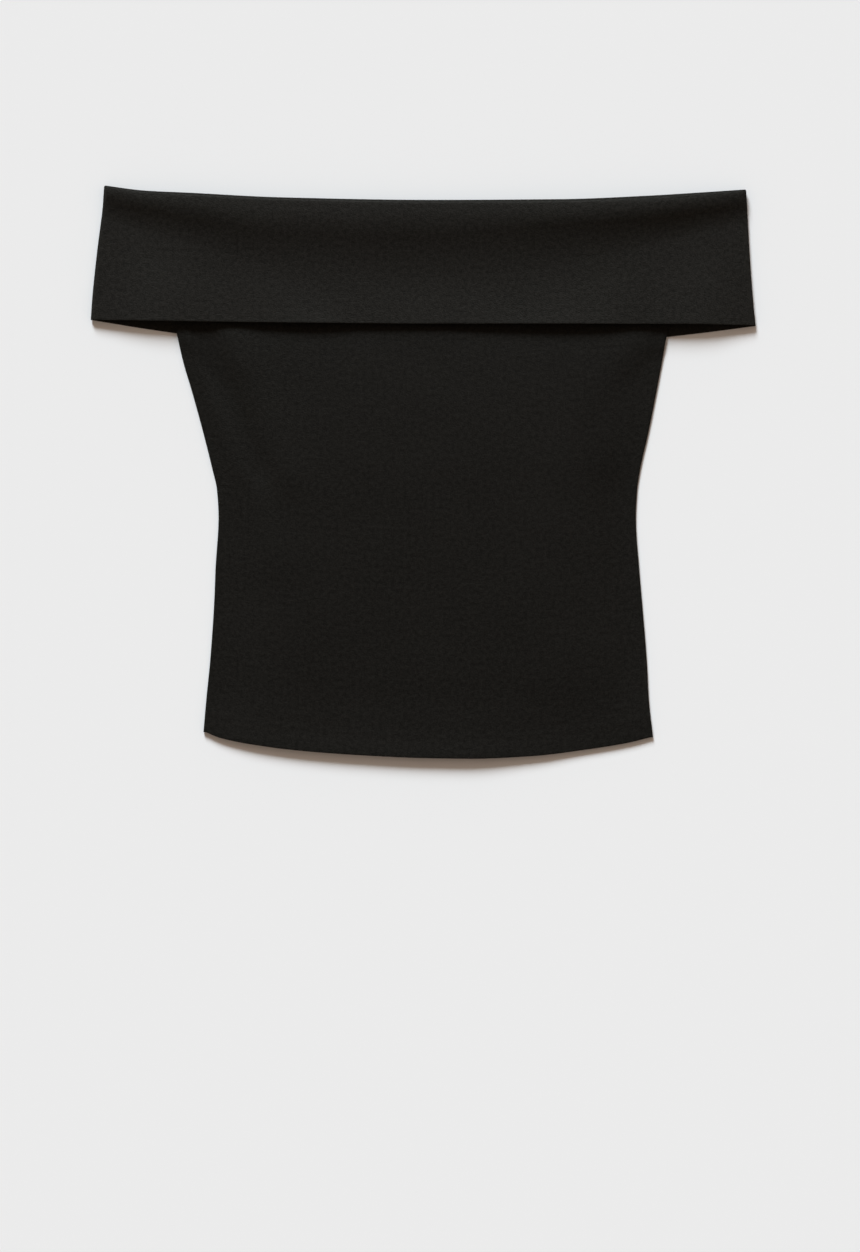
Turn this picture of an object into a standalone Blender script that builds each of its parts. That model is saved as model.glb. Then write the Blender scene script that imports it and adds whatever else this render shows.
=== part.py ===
"""An off-the-shoulder top with a deep fold-over collar, laid flat with its front up.

Units are metres. +Z is up, +Y points to the neck, and the origin is on the floor under the
middle of the whole outline. Four pieces of cloth are sewn together: a front and a back panel,
and the front and back halves of the collar. The collar is cut double. It is sewn to the
neckline, stands up from it inside, rolls over at the neck and falls outside.
"""

import math
from collections import namedtuple

import bmesh
import bpy

COLLECTION_NAME = "off_shoulder_top"

# Walls: a single layer is drawn a little thicker than the cloth, so that it keeps its form
CLOTH = 0.0007
PANEL_WALL = 0.0010
HEM_WALL = 2 * CLOTH
COLLAR_WALL = 2 * CLOTH
SEAM_GAP = 0.0003

# The hem, turned up once, and the run over which the cloth steps up to it
HEM_DEPTH = 0.0175
HEM_STEP = 0.0045

# How far up the front hem's lift is felt, and the share of it that is lost from the hem's edge
# to its upper end
HEM_LIFT_REACH = 0.030
HEM_DIP = 0.33

# The rolls where the collar turns over, measured on the middle of its wall: their least radius,
# and what they gain where they are lofty
LAYER_GAP = 0.0003
TIGHT_RADIUS = (COLLAR_WALL + LAYER_GAP) / 2
BACK_LOFT = 0.00045
FRONT_LOFT = 0.00075
NECK_GAP = 0.0004
CREST_RISE = 0.0004
LIFT_EASE = 0.35

# How far the panels take to climb over the collar's back half, and where they have done so
BACK_RAMP = 0.018
FRONT_RAMP = 0.085
RAMP_END = 0.002

# Air between front and back panel, on top of the seam gap: at the sides, and under the collar
SIDE_AIR = 0.0003
YOKE_AIR = 0.0002
YOKE_AIR_Y = 0.118
AIR_REACH = 0.070
NECK_STEP = 0.0006
NECK_STEP_RUN = 0.012

# Rounded side edges: how far in they start, and the short straight lip at the seam
PANEL_ROUND = 0.0020
STAND_ROUND = 0.0010
FALL_ROUND = 0.0030
LIP = 0.0003
UNDERARM_Y = 0.117
ARMHOLE_EASE = 0.028

# Cells across each piece, and along it between its turns
FRONT_COLUMNS = 30
BACK_COLUMNS = 20
BODY_ROWS = 18
RAMP_ROWS = 4
YOKE_ROWS = 7
FALL_ROWS = 13
STAND_ROWS = 2
FOLD_STEPS = 6
PANEL_ROUND_STEPS = 3
COLLAR_ROUND_STEPS = 3
EDGE_SEARCHES = 6
SHARP_ANGLE = math.radians(40)

# Creases: how softly they end, how far from a side they are whole, and where the last ones
# fade out under the collar
CREASE_END_FADE = 1.5
CREASE_REACH = 0.012
BULGE_END_Y = 0.132
BULGE_FADE = 0.022

BODY_BLACK = (0.0105, 0.0100, 0.0092, 1.0)
COLLAR_BLACK = (0.0125, 0.0120, 0.0110, 1.0)
CLOTH_ROUGHNESS = 0.9

Level = namedtuple("Level", "name y left right")

# Outline of front and back panel, from the hem up to the neckline
PANEL_SIDES = (
    Level("hem", -0.2060, -0.1717, 0.1795),
    Level("hip", -0.1778, -0.1693, 0.1764),
    Level("high hip", -0.1466, -0.1662, 0.1747),
    Level("below waist", -0.0998, -0.1630, 0.1709),
    Level("low waist", -0.0764, -0.1621, 0.1689),
    Level("waist", -0.0350, -0.1597, 0.1662),
    Level("waist turn", -0.0130, -0.1610, 0.1673),
    Level("ribs", 0.0016, -0.1643, 0.1695),
    Level("under bust", 0.0328, -0.1721, 0.1764),
    Level("bust", 0.0640, -0.1807, 0.1825),
    Level("upper bust", 0.0874, -0.1876, 0.1869),
    Level("high bust", 0.1061, -0.1918, 0.1902),
    Level("underarm", UNDERARM_Y, -0.1943, 0.1925),
    Level("armhole", 0.1550, -0.2105, 0.2105),
    Level("neckline", 0.2120, -0.2433, 0.2460),
)

HemPoint = namedtuple("HemPoint", "across y")

# The hem line, from the left corner (0) to the right one (1)
HEM_LINE = (
    HemPoint(0.00, -0.2030),
    HemPoint(0.03, -0.2073),
    HemPoint(0.10, -0.2124),
    HemPoint(0.21, -0.2174),
    HemPoint(0.35, -0.2210),
    HemPoint(0.49, -0.2232),
    HemPoint(0.60, -0.2237),
    HemPoint(0.73, -0.2218),
    HemPoint(0.86, -0.2164),
    HemPoint(0.95, -0.2113),
    HemPoint(1.00, -0.2070),
)

# Outline of the collar's fall, from its lower edge up to the fold
COLLAR_SIDES = (
    Level("lower edge", 0.1145, -0.2597, 0.2597),
    Level("lower wing", 0.1350, -0.2583, 0.2576),
    Level("middle", 0.1725, -0.2544, 0.2549),
    Level("upper wing", 0.2090, -0.2499, 0.2529),
    Level("fold", 0.2200, -0.2491, 0.2522),
)

Section = namedtuple(
    "Section", "name x fold_y front_edge back_edge stand crest steepest foot drop lift loft"
)

# Sections across the collar. fold_y is the neck's outer line, the edges are the lower edges of
# the front and back fall, and stand is how far below the fold the neckline seam lies. The front
# fall is highest at its crest, slopes down most at steepest and is lowest at its foot, each a
# distance below the fold. It drops by drop, and rises again by lift up to its lower edge. Loft
# is 1 where the rolls of the fold stand open, and 0 where they are pressed flat.
COLLAR_SECTIONS = (
    Section("left seam", -0.250, 0.2235, 0.1187, 0.1174, 0.0080, 0.004, 0.0115, 0.026, 0.0026, -0.0012, 0.50),
    Section("left wing", -0.217, 0.2195, 0.1180, 0.1121, 0.0125, 0.006, 0.0150, 0.033, 0.0030, 0.0008, 1.00),
    Section("left arm", -0.180, 0.2176, 0.1174, 0.1070, 0.0160, 0.009, 0.0205, 0.042, 0.0030, 0.0009, 1.00),
    Section("left bust", -0.110, 0.2141, 0.1165, 0.1012, 0.0180, 0.013, 0.0280, 0.060, 0.0029, 0.0009, 1.00),
    Section("centre", 0.008, 0.2121, 0.1156, 0.0983, 0.0180, 0.012, 0.0285, 0.063, 0.0033, 0.0012, 1.00),
    Section("right bust", 0.107, 0.2126, 0.1155, 0.1004, 0.0180, 0.011, 0.0205, 0.054, 0.0037, 0.0011, 1.20),
    Section("right arm", 0.175, 0.2153, 0.1154, 0.1043, 0.0160, 0.008, 0.0182, 0.041, 0.0036, 0.0011, 1.15),
    Section("right wing", 0.217, 0.2180, 0.1152, 0.1087, 0.0125, 0.006, 0.0150, 0.032, 0.0030, 0.0008, 1.00),
    Section("right seam", 0.252, 0.2205, 0.1146, 0.1132, 0.0080, 0.004, 0.0115, 0.026, 0.0026, -0.0012, 0.50),
)

Crease = namedtuple("Crease", "name x1 y1 x2 y2 half_width height")

# Soft ridges (height above 0) and troughs (below 0) of the front panel
FRONT_CREASES = (
    Crease("underarm pull", -0.173, 0.110, -0.129, 0.004, 0.010, -0.0017),
    Crease("depth of pull", -0.172, 0.112, -0.156, 0.070, 0.009, -0.0008),
    Crease("roll left of pull", -0.187, 0.108, -0.142, 0.000, 0.012, 0.0013),
    Crease("roll right of pull", -0.152, 0.106, -0.109, 0.002, 0.014, 0.0012),
    Crease("left waist roll", -0.136, -0.030, -0.118, -0.060, 0.014, 0.0005),
    Crease("right side hollow", 0.150, -0.020, 0.163, -0.165, 0.012, -0.0012),
    Crease("left hip hollow", -0.140, -0.110, -0.104, -0.180, 0.018, -0.0006),
    Crease("hollow above hem", -0.140, -0.180, 0.130, -0.184, 0.018, -0.0005),
    Crease("bulge left of bust", -0.143, 0.116, -0.140, 0.092, 0.015, 0.0008),
    Crease("bulge at centre", -0.049, 0.116, 0.012, 0.112, 0.012, 0.0003),
    Crease("bulge right of bust", 0.170, 0.116, 0.160, 0.092, 0.014, 0.0009),
)

HemLift = namedtuple("HemLift", "name across height")

# How far the front hem stands off the back hem, from the left corner (0) to the right one (1)
HEM_LIFTS = (
    HemLift("left corner", 0.00, 0.0001),
    HemLift("left", 0.12, 0.0010),
    HemLift("left of centre", 0.33, 0.0017),
    HemLift("centre", 0.57, 0.0020),
    HemLift("right of centre", 0.72, 0.0008),
    HemLift("right", 0.85, 0.0002),
    HemLift("right corner", 1.00, 0.0001),
)

EdgeWave = namedtuple("EdgeWave", "x height")

# Waves along the collar's lower edge, over its own lift
EDGE_WAVES = (
    EdgeWave(-0.260, 0.0000),
    EdgeWave(-0.143, 0.0000),
    EdgeWave(-0.080, 0.0009),
    EdgeWave(-0.049, 0.0000),
    EdgeWave(0.008, 0.0000),
    EdgeWave(0.055, 0.0005),
    EdgeWave(0.107, 0.0011),
    EdgeWave(0.140, 0.0007),
    EdgeWave(0.169, 0.0000),
    EdgeWave(0.260, 0.0000),
)

AirLevel = namedtuple("AirLevel", "y air")

# Air under the middle of the front panel, from above the hem up to the collar
MIDDLE_AIR = (
    AirLevel(-0.190, 0.0016),
    AirLevel(-0.050, 0.0032),
    AirLevel(0.005, 0.0035),
    AirLevel(YOKE_AIR_Y, YOKE_AIR),
)


def clamped(value):
    return min(max(value, 0.0), 1.0)


def smooth(value):
    """An S-shaped step from 0 to 1."""
    t = clamped(value)
    return t * t * (3.0 - 2.0 * t)


def blend(a, b, share):
    return a + (b - a) * share


def curve_through(rows, along, value):
    """A smooth function through one column of a table, as a function of another column.

    It doesn't overshoot between rows, and runs on straight past the first and last one.
    """
    xs = [getattr(row, along) for row in rows]
    ys = [getattr(row, value) for row in rows]
    count = len(xs)
    steps = [(ys[i + 1] - ys[i]) / (xs[i + 1] - xs[i]) for i in range(count - 1)]
    slopes = [steps[0]]
    for before, after in zip(steps, steps[1:]):
        slopes.append(2 * before * after / (before + after) if before * after > 0 else 0.0)
    slopes.append(steps[-1])

    def at(x):
        if x <= xs[0]:
            return ys[0] + slopes[0] * (x - xs[0])
        if x >= xs[-1]:
            return ys[-1] + slopes[-1] * (x - xs[-1])
        i = max(k for k in range(count - 1) if xs[k] <= x)
        width = xs[i + 1] - xs[i]
        t = (x - xs[i]) / width
        return (
            ys[i] * (1 + 2 * t) * (1 - t) ** 2
            + slopes[i] * width * t * (1 - t) ** 2
            + ys[i + 1] * t * t * (3 - 2 * t)
            + slopes[i + 1] * width * t * t * (t - 1)
        )

    return at


panel_left = curve_through(PANEL_SIDES, "y", "left")
panel_right = curve_through(PANEL_SIDES, "y", "right")
collar_left = curve_through(COLLAR_SIDES, "y", "left")
collar_right = curve_through(COLLAR_SIDES, "y", "right")
fold_y = curve_through(COLLAR_SECTIONS, "x", "fold_y")
front_edge_y = curve_through(COLLAR_SECTIONS, "x", "front_edge")
back_edge_y = curve_through(COLLAR_SECTIONS, "x", "back_edge")
stand_height = curve_through(COLLAR_SECTIONS, "x", "stand")
crest_place = curve_through(COLLAR_SECTIONS, "x", "crest")
steepest_place = curve_through(COLLAR_SECTIONS, "x", "steepest")
foot_place = curve_through(COLLAR_SECTIONS, "x", "foot")
fall_drop = curve_through(COLLAR_SECTIONS, "x", "drop")
edge_lift = curve_through(COLLAR_SECTIONS, "x", "lift")
loft = curve_through(COLLAR_SECTIONS, "x", "loft")
hem_y = curve_through(HEM_LINE, "across", "y")
hem_lift = curve_through(HEM_LIFTS, "across", "height")
middle_air = curve_through(MIDDLE_AIR, "y", "air")
edge_wave = curve_through(EDGE_WAVES, "x", "height")

# Heights of the middle of the collar's wall, layer by layer, at the back fall and the neckline
BACK_FALL_Z = COLLAR_WALL / 2
BACK_STAND_SEAM_Z = COLLAR_WALL + LAYER_GAP + COLLAR_WALL / 2
FRONT_STAND_SEAM_Z = BACK_STAND_SEAM_Z + COLLAR_WALL + NECK_GAP


def back_radius(x):
    return TIGHT_RADIUS + BACK_LOFT * loft(x)


def front_radius(x):
    return TIGHT_RADIUS + FRONT_LOFT * loft(x)


def back_stand_fold_z(x):
    return BACK_FALL_Z + 2 * back_radius(x)


def front_stand_fold_z(x):
    return back_stand_fold_z(x) + COLLAR_WALL + NECK_GAP


def front_fall_fold_z(x):
    return front_stand_fold_z(x) + 2 * front_radius(x)


def neckline_y(x):
    return fold_y(x) - stand_height(x) - SEAM_GAP


def roll_centre_y(x):
    return fold_y(x) - COLLAR_WALL / 2 - front_radius(x)


def crease_height(crease, x, y):
    """One soft ridge or trough, widest in its middle and fading out at both ends."""
    run_x, run_y = crease.x2 - crease.x1, crease.y2 - crease.y1
    length = math.hypot(run_x, run_y)
    along = ((x - crease.x1) * run_x + (y - crease.y1) * run_y) / length
    across = ((x - crease.x1) * run_y - (y - crease.y1) * run_x) / length
    past_end = max(-along, along - length, 0.0)
    return crease.height * math.exp(-((across / crease.half_width) ** 2)) * math.exp(
        -((past_end / (CREASE_END_FADE * crease.half_width)) ** 2)
    )


def ramp_start_y(x):
    return back_edge_y(x) - BACK_RAMP


def ramp_end_y(x):
    return back_edge_y(x) - RAMP_END


def climb(x, y, run):
    """How far a panel has climbed over the collar's back half, when it takes a run to do so."""
    return (COLLAR_WALL + SEAM_GAP) * smooth(1.0 - (ramp_end_y(x) - y) / run)


def back_underside(x, y):
    return climb(x, y, BACK_RAMP - RAMP_END)


def hem_share(above_hem):
    """1 in the turned-up hem, 0 above it."""
    return 1.0 - smooth((above_hem - HEM_DEPTH) / HEM_STEP)


def unevenness(x, y):
    """All the creases of the front panel at one point."""
    change = sum(crease_height(crease, x, y) for crease in FRONT_CREASES)
    return change * smooth((BULGE_END_Y - y) / BULGE_FADE)


def creased(air, change):
    """Air after a crease: a roll adds to it, and a hollow presses it out but never all of it."""
    return air + change if change > 0 else air * math.exp(change / air)


def front_outside(x, y, across, above_hem):
    """Height of the front panel's outer face. It bridges the step that the back panel makes."""
    from_side = min(x - panel_left(y), panel_right(y) - x)
    inside = smooth(from_side / AIR_REACH)
    middle = middle_air(min(y, YOKE_AIR_Y))
    air = blend(min(SIDE_AIR, middle), middle, inside)
    air = creased(air, unevenness(x, y) * smooth(from_side / CREASE_REACH))
    run = blend(BACK_RAMP - RAMP_END, FRONT_RAMP, inside)
    body = climb(x, y, run) + 2 * PANEL_WALL + SEAM_GAP + air
    lift = hem_lift(across) * (1.0 - HEM_DIP * smooth(above_hem / HEM_DEPTH))
    hem = 2 * HEM_WALL + SEAM_GAP + lift
    near_hem = math.exp(-((max(above_hem - HEM_DEPTH / 2, 0.0) / HEM_LIFT_REACH) ** 2))
    neck = smooth(1.0 - (neckline_y(x) - y) / NECK_STEP_RUN)
    return blend(body, hem, near_hem) + NECK_STEP * neck


def fallen_share(below_fold, crest, steepest, foot):
    """0 above the crest and 1 below the foot, with a slope that peaks at the steepest place."""
    s = min(max(below_fold, crest), foot)
    if s < steepest:
        return (s - crest) ** 2 / ((foot - crest) * (steepest - crest))
    return 1.0 - (foot - s) ** 2 / ((foot - crest) * (foot - steepest))


def lifted_share(risen):
    """0 at the foot of the fall and 1 at its lower edge: an easy start, then a straight rise."""
    if risen < LIFT_EASE:
        return risen**2 / (2 * LIFT_EASE) / (1.0 - LIFT_EASE / 2)
    return (risen - LIFT_EASE / 2) / (1.0 - LIFT_EASE / 2)


def front_fall_height(x, y):
    """Middle of the wall of the collar's front fall: a crest, a trough and a lifted edge."""
    crest, foot = crest_place(x), foot_place(x)
    below_fold = fold_y(x) - y
    lowest = fold_y(x) - front_edge_y(x)
    height = front_fall_fold_z(x) + CREST_RISE * clamped(loft(x)) * smooth(below_fold / crest)
    height -= fall_drop(x) * fallen_share(below_fold, crest, steepest_place(x), foot)
    risen = clamped((below_fold - foot) / (lowest - foot))
    return height + edge_lift(x) * lifted_share(risen) + edge_wave(x) * risen**3


def cloth_sheet(name, columns, rows, place):
    """An open sheet of cells, with place(column, row) giving each corner."""
    mesh = bpy.data.meshes.new(name)
    sheet = bmesh.new()
    across, along = len(columns) - 1, len(rows) - 1
    bmesh.ops.create_grid(sheet, x_segments=across, y_segments=along, size=0.5)
    for corner in sheet.verts:
        column = columns[round((corner.co.x + 0.5) * across)]
        row = rows[round((corner.co.y + 0.5) * along)]
        corner.co = place(column, row)
    sheet.to_mesh(mesh)
    sheet.free()
    return mesh


def cloth_piece(name, mesh, wall, offset, colour, collection):
    """Gives an open sheet its wall. Offset -1 grows it inwards, 0 to both sides."""
    piece = bpy.data.objects.new(name, mesh)
    collection.objects.link(piece)
    mesh.materials.append(black_crepe(name + "_crepe", colour))
    mesh.shade_smooth()
    mesh.set_sharp_from_angle(angle=SHARP_ANGLE)
    thicken = piece.modifiers.new("wall", "SOLIDIFY")
    thicken.thickness = wall
    thicken.offset = offset
    return piece


def edge_columns(inner, round_steps):
    """Columns of a piece as (across, turn, lip): turn is the angle around a rounded side edge."""
    turns = [math.radians(90.0) * step / round_steps for step in range(1, round_steps + 1)]
    left = [(0.0, turns[-1], 1.0)] + [(0.0, turn, 0.0) for turn in reversed(turns)]
    middle = [(step / inner, 0.0, 0.0) for step in range(inner + 1)]
    right = [(1.0, turn, 0.0) for turn in turns] + [(1.0, turns[-1], 1.0)]
    return left + middle + right


def rounded_edge(left_tip, right_tip, reach, column, lip_out=0.0):
    """x of a column between two side edges that round off over a reach.

    The last column is a lip, which points at the other layer or, with lip_out, sideways.
    """
    across, turn, lip = column
    x = blend(left_tip + reach, right_tip - reach, across)
    outwards = reach * math.sin(turn) + LIP * lip * lip_out
    return x - outwards if across < 0.5 else x + outwards


def edge_drop(height, seam, column, sewn=1.0, lip_out=0.0):
    """How far a rounded edge has turned towards the seam. It works for both layers."""
    _, turn, lip = column
    gap = SEAM_GAP / 2 if height > seam else -SEAM_GAP / 2
    lip_height = LIP if height > seam else -LIP
    drop = height - seam - gap - lip_height
    return sewn**2 * drop * (1.0 - math.cos(turn)) + lip_height * lip * (1.0 - lip_out)


def panel_rows():
    """Rows of a panel as (zone, share): hem, body, the climb over the collar, and yoke."""
    hem = [("hem", share) for share in (0.0, 0.4, 0.8, 0.9, 1.0)]
    body = [("body", (step + 1) / BODY_ROWS) for step in range(BODY_ROWS)]
    ramp = [("ramp", (step + 1) / RAMP_ROWS) for step in range(RAMP_ROWS)]
    yoke = [("yoke", (step + 1) / YOKE_ROWS) for step in range(YOKE_ROWS)]
    return hem + body + ramp + yoke


def side_seam(y):
    """How much of the side seam is sewn at y, and how far the panel's lip has turned out."""
    past_underarm = (y - UNDERARM_Y) / ARMHOLE_EASE
    return 1.0 - smooth(past_underarm), smooth(past_underarm - 1.0)


def panel_row_y(row, across, x):
    """y of a row of a panel, where the row crosses x."""
    zone, share = row
    hem_top = hem_y(across) + HEM_DEPTH + HEM_STEP
    stops = {
        "hem": (hem_y(across), hem_top),
        "body": (hem_top, ramp_start_y(x)),
        "ramp": (ramp_start_y(x), ramp_end_y(x)),
        "yoke": (ramp_end_y(x), neckline_y(x)),
    }
    return blend(*stops[zone], share)


def panel_place(column, row):
    """x, y, height above the hem and state of the side seam at one corner of a panel."""
    across = column[0]
    left, right = panel_left(0.0), panel_right(0.0)
    for _ in range(EDGE_SEARCHES):
        left = panel_left(panel_row_y(row, 0.0, left))
        right = panel_right(panel_row_y(row, 1.0, right))
    seam_y = panel_row_y(row, 0.0, left) if across < 0.5 else panel_row_y(row, 1.0, right)
    sewn, lip_out = side_seam(seam_y)
    x = rounded_edge(left, right, PANEL_ROUND, column, lip_out)
    y = panel_row_y(row, across, x)
    return x, y, y - hem_y(across), sewn, lip_out


def panel_faces(x, y, across, above_hem):
    """Heights of the outer faces of front and back panel, and of the seam between them."""
    front = front_outside(x, y, across, above_hem)
    back = back_underside(x, y)
    return front, back, (front + back) / 2


def front_panel_corner(column, row):
    x, y, above_hem, sewn, lip_out = panel_place(column, row)
    front, _, seam = panel_faces(x, y, column[0], above_hem)
    return x, y, front - edge_drop(front, seam, column, sewn, lip_out)


def back_panel_corner(column, row):
    x, y, above_hem, sewn, lip_out = panel_place(column, row)
    _, back, seam = panel_faces(x, y, column[0], above_hem)
    return x, y, back - edge_drop(back, seam, column, sewn, lip_out)


def collar_rows():
    """Rows of a collar half as (part, share): up the stand, around the roll, down the fall."""
    stand = [("stand", step / STAND_ROWS) for step in range(STAND_ROWS + 1)]
    roll = [("roll", step / FOLD_STEPS) for step in range(1, FOLD_STEPS + 1)]
    fall = [("fall", (step + 1) / FALL_ROWS) for step in range(FALL_ROWS)]
    return stand + roll + fall


def collar_half(is_front, column, row):
    """One corner of the collar's front or back half, on the middle of its wall."""
    part, share = row
    edge_y = front_edge_y if is_front else back_edge_y
    away = 1.0 if is_front else -1.0
    half_turn = math.pi * share if part == "roll" else (math.pi if part == "fall" else 0.0)
    fall_share = (1.0 - math.cos(half_turn)) / 2
    fall = share if part == "fall" else 0.0
    fold_left, fold_right = COLLAR_SIDES[-1].left, COLLAR_SIDES[-1].right
    low_left, low_right = COLLAR_SIDES[0].left, COLLAR_SIDES[0].right
    left_y = blend(roll_centre_y(fold_left), edge_y(low_left), fall)
    right_y = blend(roll_centre_y(fold_right), edge_y(low_right), fall)
    inset = COLLAR_WALL / 2 + 2 * TIGHT_RADIUS * (1.0 - fall_share)
    reach = blend(STAND_ROUND, FALL_ROUND, fall_share)
    left_tip, right_tip = collar_left(left_y) + inset, collar_right(right_y) - inset
    x = rounded_edge(left_tip, right_tip, reach, column)
    centre = roll_centre_y(x)
    stand_fold_z = front_stand_fold_z(x) if is_front else back_stand_fold_z(x)
    if part == "stand":
        y = blend(fold_y(x) - stand_height(x), centre, share)
        stand_seam_z = FRONT_STAND_SEAM_Z if is_front else BACK_STAND_SEAM_Z
        height = blend(stand_seam_z, stand_fold_z, smooth(share))
        seam = height - away * (COLLAR_WALL + NECK_GAP) / 2
    else:
        y = blend(centre, edge_y(x), fall) + front_radius(x) * math.sin(half_turn)
        over = front_fall_height(x, y) if part == "fall" else front_fall_fold_z(x)
        fall_seam = (over + BACK_FALL_Z) / 2
        stand_seam = (front_stand_fold_z(x) + back_stand_fold_z(x)) / 2
        seam = blend(stand_seam, fall_seam, fall_share)
        if part == "roll":
            radius = front_radius(x) if is_front else back_radius(x)
            height = stand_fold_z + away * radius * (1.0 - math.cos(half_turn))
        else:
            height = over if is_front else BACK_FALL_Z
    return x, y, height - edge_drop(height, seam, column)


def collar_front_corner(column, row):
    return collar_half(True, column, row)


def collar_back_corner(column, row):
    return collar_half(False, column, row)


def black_crepe(name, colour):
    material = bpy.data.materials.new(name)
    material.use_nodes = True
    shader = material.node_tree.nodes["Principled BSDF"]
    shader.inputs["Base Color"].default_value = colour
    shader.inputs["Roughness"].default_value = CLOTH_ROUGHNESS
    shader.inputs["Metallic"].default_value = 0.0
    return material


def thicker_at_hem(piece):
    """Solidify reads this vertex group: the full wall at the hem, one layer above it."""
    group = piece.vertex_groups.new(name="hem")
    for vertex in piece.data.vertices:
        wall = blend(PANEL_WALL, HEM_WALL, hem_share_at(vertex.co))
        group.add([vertex.index], wall / HEM_WALL, "REPLACE")
    piece.modifiers["wall"].vertex_group = "hem"


def hem_share_at(point):
    left, right = panel_left(point.y), panel_right(point.y)
    across = clamped((point.x - left) / (right - left))
    return hem_share(point.y - hem_y(across))


def make_panels(collection):
    columns = edge_columns(FRONT_COLUMNS, PANEL_ROUND_STEPS)
    mesh = cloth_sheet("front_panel", columns, panel_rows(), front_panel_corner)
    front = cloth_piece("front_panel", mesh, HEM_WALL, -1.0, BODY_BLACK, collection)
    thicker_at_hem(front)
    columns = edge_columns(BACK_COLUMNS, PANEL_ROUND_STEPS)
    mesh = cloth_sheet("back_panel", columns, panel_rows(), back_panel_corner)
    mesh.flip_normals()
    back = cloth_piece("back_panel", mesh, HEM_WALL, -1.0, BODY_BLACK, collection)
    thicker_at_hem(back)


def make_collar(collection):
    columns = edge_columns(FRONT_COLUMNS, COLLAR_ROUND_STEPS)
    mesh = cloth_sheet("collar_front", columns, collar_rows(), collar_front_corner)
    cloth_piece("collar_front", mesh, COLLAR_WALL, 0.0, COLLAR_BLACK, collection)
    columns = edge_columns(BACK_COLUMNS, COLLAR_ROUND_STEPS)
    mesh = cloth_sheet("collar_back", columns, collar_rows(), collar_back_corner)
    cloth_piece("collar_back", mesh, COLLAR_WALL, 0.0, COLLAR_BLACK, collection)


def main():
    for old in list(bpy.data.objects):
        bpy.data.objects.remove(old, do_unlink=True)
    collection = bpy.data.collections.new(COLLECTION_NAME)
    bpy.context.scene.collection.children.link(collection)
    make_panels(collection)
    make_collar(collection)


main()
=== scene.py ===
"""Looks of the off-the-shoulder top: four pieces of cut cloth, sewn together and laid flat.

Units are metres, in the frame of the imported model: +Z is up and +Y points to the neck. The
tables and the functions that shape the cloth follow those of the model's own source, drawn finer
and with the cloth's real thickness.
"""

import math
from collections import namedtuple

import bmesh
import bpy
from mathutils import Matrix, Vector

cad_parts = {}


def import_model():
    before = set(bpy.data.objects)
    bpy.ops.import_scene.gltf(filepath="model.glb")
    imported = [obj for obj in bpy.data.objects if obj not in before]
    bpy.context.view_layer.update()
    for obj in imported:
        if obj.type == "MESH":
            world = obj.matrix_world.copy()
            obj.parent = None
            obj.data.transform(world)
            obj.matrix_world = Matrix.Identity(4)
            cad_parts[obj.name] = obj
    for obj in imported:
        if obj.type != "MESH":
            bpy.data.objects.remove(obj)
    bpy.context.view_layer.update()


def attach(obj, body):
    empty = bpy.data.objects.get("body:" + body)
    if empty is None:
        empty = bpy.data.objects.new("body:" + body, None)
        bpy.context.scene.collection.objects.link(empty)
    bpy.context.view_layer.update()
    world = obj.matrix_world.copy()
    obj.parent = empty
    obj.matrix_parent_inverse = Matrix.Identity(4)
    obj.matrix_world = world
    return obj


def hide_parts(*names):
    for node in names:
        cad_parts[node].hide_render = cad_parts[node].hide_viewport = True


# The photograph: its size in pixels, its scale, and the pixel over the model's origin
PHOTO_WIDTH = 860
PHOTO_HEIGHT = 1252
METRES_PER_PIXEL = 0.00078
ORIGIN_PIXEL_X = 423
ORIGIN_PIXEL_Y = 472
CAMERA_HEIGHT = 3.0
GARMENT_LEVEL = 0.005
SENSOR = 36.0

# Light: a broad, slightly cool lamp, low past the neck end and a little to the left, and a warm
# room that is bright behind the neck end, dimmer behind the hem and dark overhead
LAMP_ELEVATION = math.radians(24)
LAMP_TURN = math.radians(15)
LAMP_SPREAD = math.radians(21)
LAMP_STRENGTH = 6.29
LAMP_COLOUR = (0.834, 0.931, 1.0)
ROOM_CEILING = (0.110, 0.086, 0.069, 1.0)
ROOM_NEAR = (0.512, 0.400, 0.320, 1.0)
ROOM_FAR = (1.216, 0.950, 0.760, 1.0)
FLOOR_SIZE = 30.0
FLOOR_COLOUR = (0.80, 0.80, 0.80, 1.0)

# Crepe: its colour deep in the yarn and on top of it, and how strong its gloss is
Crepe = namedtuple("Crepe", "name dark light gloss")

BODY_CREPE = Crepe("body_cloth", (0.0008, 0.0008, 0.0006, 1.0), (0.0078, 0.0073, 0.0064, 1.0), 0.115)
# The collar is the same crepe as the body. Its lighter colours and stronger gloss are painted light,
# standing in for the light that the collar's tilted fall catches.
COLLAR_CREPE_PAINTED_LIGHTER = Crepe("collar_cloth", (0.0012, 0.0012, 0.0010, 1.0), (0.0106, 0.0099, 0.0088, 1.0), 0.145)
CREPE_ROUGHNESS = 0.55
CREPE_RELIEF = 0.00032
GLOSS_TINT = (1.0, 0.97, 0.87, 1.0)
SHEEN = 0.03
SHEEN_ROUGHNESS = 0.5
SHEEN_TINT = (1.0, 0.96, 0.90, 1.0)

# Patterns of the yarn and the knit, as repeats a millimetre, and how much each one counts
FINE_GRAIN = 0.95
COARSE_GRAIN = 0.32
SLOW_CHANGE = 0.016
NOISE_DETAIL = 2.0
NOISE_MIDDLE = 0.5
COARSE_TONE = 0.8
COARSE_HEIGHT = 0.6
WALES = 0.36
WALE_WAVER = 1.2
WALE_WAVER_DETAIL = 1.0
WALE_WAVER_SCALE = 1.6
WALE_HEIGHT = 0.25
GRAIN_TONE = 0.55
SLOW_TONE = 0.08
DARKEST_TONE = 0.88
LIGHTEST_TONE = 1.12

# How far aslant the cloth is seen, from 0 to 1, where its gloss starts to dull and where it is dull
SLANT_START = 0.04
SLANT_END = 0.28

# Cloth: one ply, and the walls that it makes
CLOTH = 0.00040
PANEL_WALL = CLOTH
HEM_WALL = 2 * CLOTH
COLLAR_WALL = 2 * CLOTH
SEAM_GAP = 0.0003

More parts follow.
